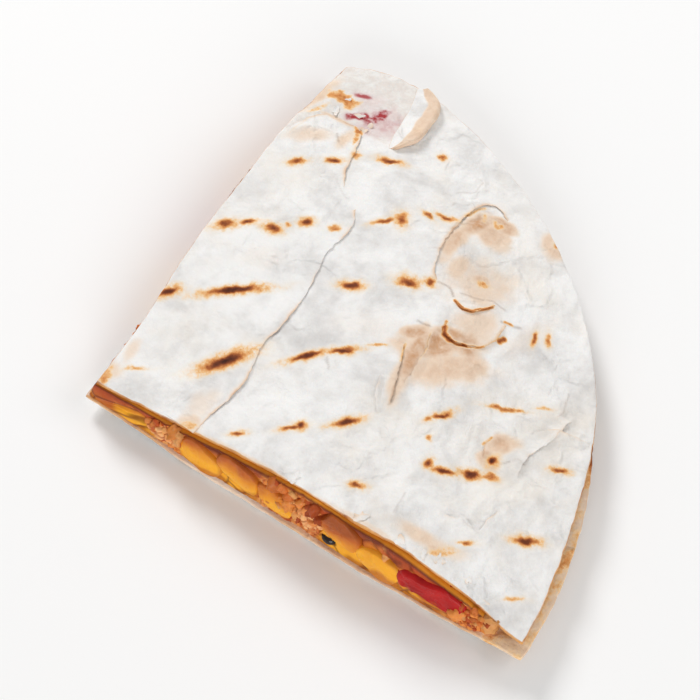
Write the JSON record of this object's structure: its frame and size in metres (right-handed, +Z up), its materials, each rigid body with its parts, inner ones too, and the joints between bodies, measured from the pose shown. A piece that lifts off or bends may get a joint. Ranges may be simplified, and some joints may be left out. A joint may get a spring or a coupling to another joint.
{
  "type": "quesadilla",
  "caption": "A quarter wedge of a grilled flour tortilla quesadilla, with minced chicken, melted cheese, sweetcorn and red pepper showing at its two cuts.",
  "frame": {"origin": "middle of the bounding box in plan, on the flat underside that it rests on", "axes": "+Z up; the tip points to -X -Y, one cut runs along +X and faces -Y, the other runs along +Y and faces -X, and the round rim faces +X +Y"},
  "size_m": [0.1064, 0.1012, 0.0153],
  "materials": {
    "tortilla": "matte floury bread with brown grill marks",
    "filling": "moist minced chicken in sauce and melted cheese",
    "corn": "glossy cooked sweetcorn",
    "pepper": "glossy cooked red pepper",
    "chicken": "moist crumbly cooked chicken",
    "bean": "glossy cooked black bean"
  },
  "bodies": {
    "root": {"bean_front_1": "bean", "bean_left_1": "bean", "chicken_front_1": "chicken", "chicken_front_2": "chicken", "chicken_left_1": "chicken", "chicken_left_2": "chicken", "corn_front_1": "corn", "corn_front_2": "corn", "corn_front_3": "corn", "corn_front_4": "corn", "corn_front_5": "corn", "corn_left_1": "corn", "corn_left_2": "corn", "corn_left_3": "corn", "filling": "filling", "pepper_front_1": "pepper", "pepper_left_1": "pepper", "pepper_left_2": "pepper", "tortilla_bottom": "tortilla", "tortilla_top": "tortilla"}
  },
  "joints": []
}
